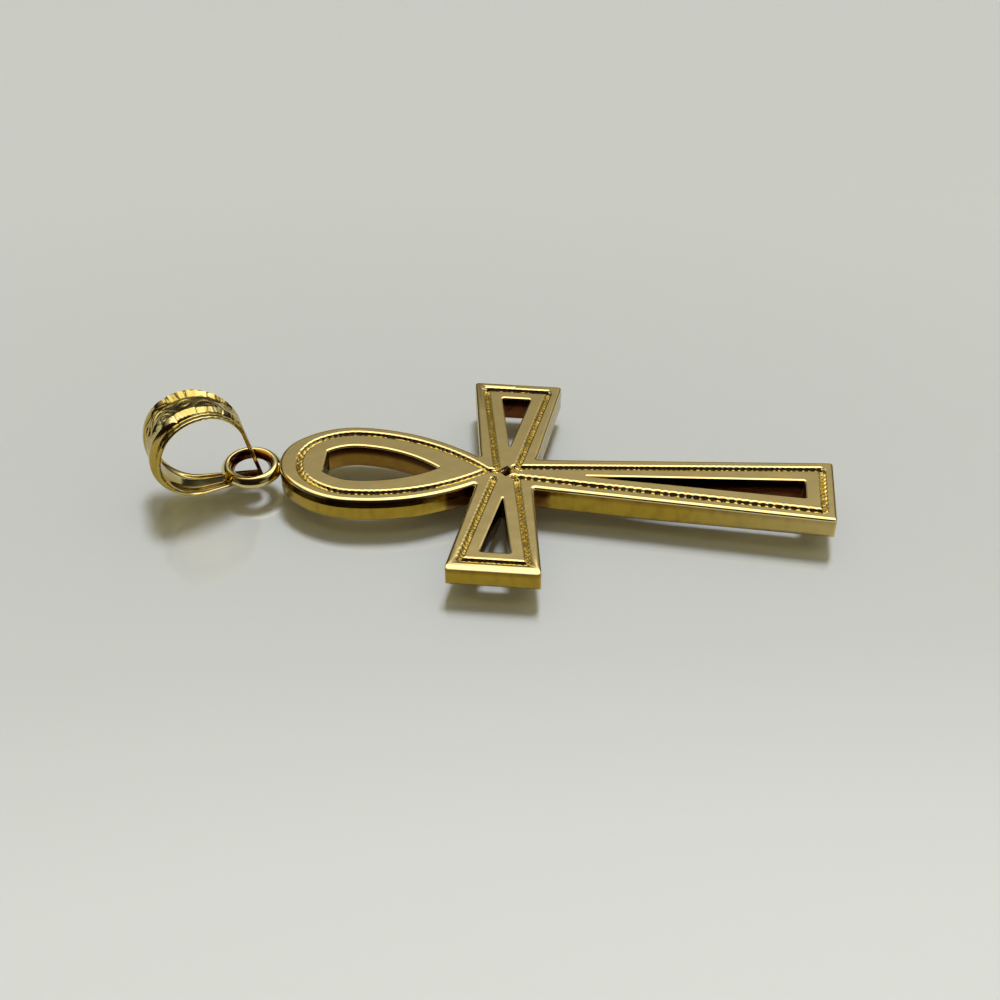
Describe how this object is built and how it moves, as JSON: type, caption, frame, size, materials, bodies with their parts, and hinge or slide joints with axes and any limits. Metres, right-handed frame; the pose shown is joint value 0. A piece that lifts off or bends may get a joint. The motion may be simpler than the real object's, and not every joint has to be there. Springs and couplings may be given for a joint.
{
  "type": "ankh pendant",
  "caption": "Gold ankh pendant lying face up: pierced, grooved cross with a teardrop loop, a soldered ring and a loose leaf shaped bail with two ridges.",
  "frame": {"origin": "crossing centre of the ankh, on its flat back face, which lies on the surface", "axes": "+X from the crossing towards the end of the stem, +Y towards the arm that lies away from the picture's viewer, +Z out of the decorated face"},
  "size_m": [0.0374, 0.0156, 0.0057],
  "materials": {
    "gold_plate": "polished",
    "gold_bail": "polished"
  },
  "bodies": {
    "root": {"ankh": "gold_plate", "bail": "gold_bail"}
  },
  "joints": []
}
